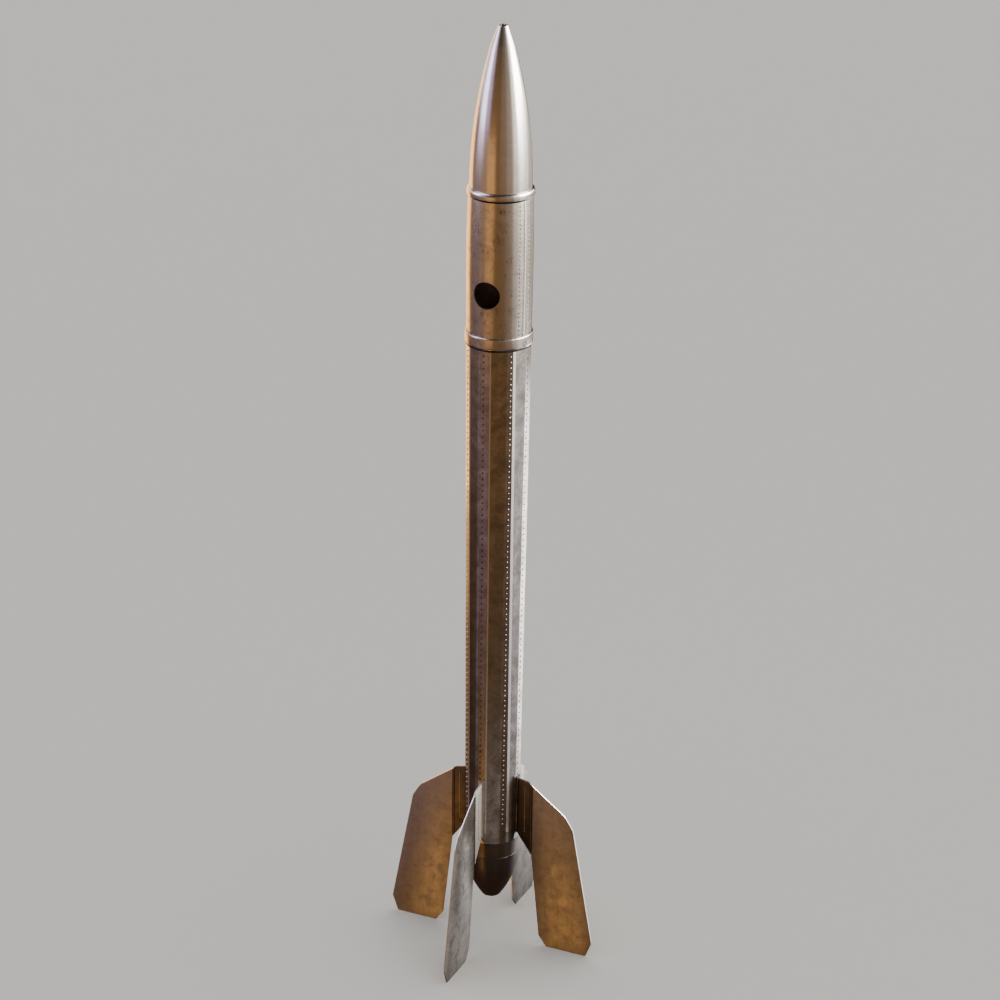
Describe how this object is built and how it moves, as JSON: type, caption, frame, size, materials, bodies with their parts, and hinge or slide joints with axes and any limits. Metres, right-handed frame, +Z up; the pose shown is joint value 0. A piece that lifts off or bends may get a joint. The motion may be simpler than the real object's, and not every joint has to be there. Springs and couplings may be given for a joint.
{
  "type": "riveted sheet-metal sounding rocket",
  "caption": "Slender bare-metal rocket with a lift-off ogive nose, a barrel-shaped bay with a round porthole, a lapped and riveted body, a rounded tail cone and plate fins that it stands on.",
  "frame": {"origin": "on the rocket's axis, level with the bottom edges of its fins", "axes": "+Z up along the rocket's axis to the nose; -Y along the front fin, the side with the porthole; +X along the right fin"},
  "size_m": [0.7912, 0.7912, 3.349],
  "materials": {
    "worn_sheet": "worn, stained bare metal",
    "fin_sheet": "worn, blotchy bare metal",
    "dark_metal": "heat-darkened",
    "screw_steel": "worn"
  },
  "bodies": {
    "airframe": {"bay_shell": "worn_sheet", "bay_seam": "worn_sheet", "bay_floor": "worn_sheet", "joint_collar": "worn_sheet", "collar_screw_right": "screw_steel", "collar_screw_left": "screw_steel", "body_panel_0": "worn_sheet", "body_panel_1": "worn_sheet", "body_panel_2": "worn_sheet", "body_panel_3": "worn_sheet", "body_panel_4": "worn_sheet", "body_panel_5": "worn_sheet", "body_panel_6": "worn_sheet", "body_panel_7": "worn_sheet", "tail_band": "worn_sheet", "tail_cone": "dark_metal", "nozzle": "dark_metal", "motor": "dark_metal", "fin_blade_front": "fin_sheet", "fin_blade_right": "fin_sheet", "fin_blade_rear": "fin_sheet", "fin_blade_left": "fin_sheet", "fin_bracket_front": "worn_sheet", "fin_bracket_right": "worn_sheet", "fin_bracket_rear": "worn_sheet", "fin_bracket_left": "worn_sheet"},
    "nose": {"nose_cone": "worn_sheet", "nose_plug": "dark_metal", "nose_ring": "worn_sheet", "nose_spigot": "worn_sheet"}
  },
  "joints": [
    {"name": "nose_lift", "type": "slide", "parent": "airframe", "child": "nose", "axis": [0, 0, 1], "range_m": [0, 0.12]}
  ]
}
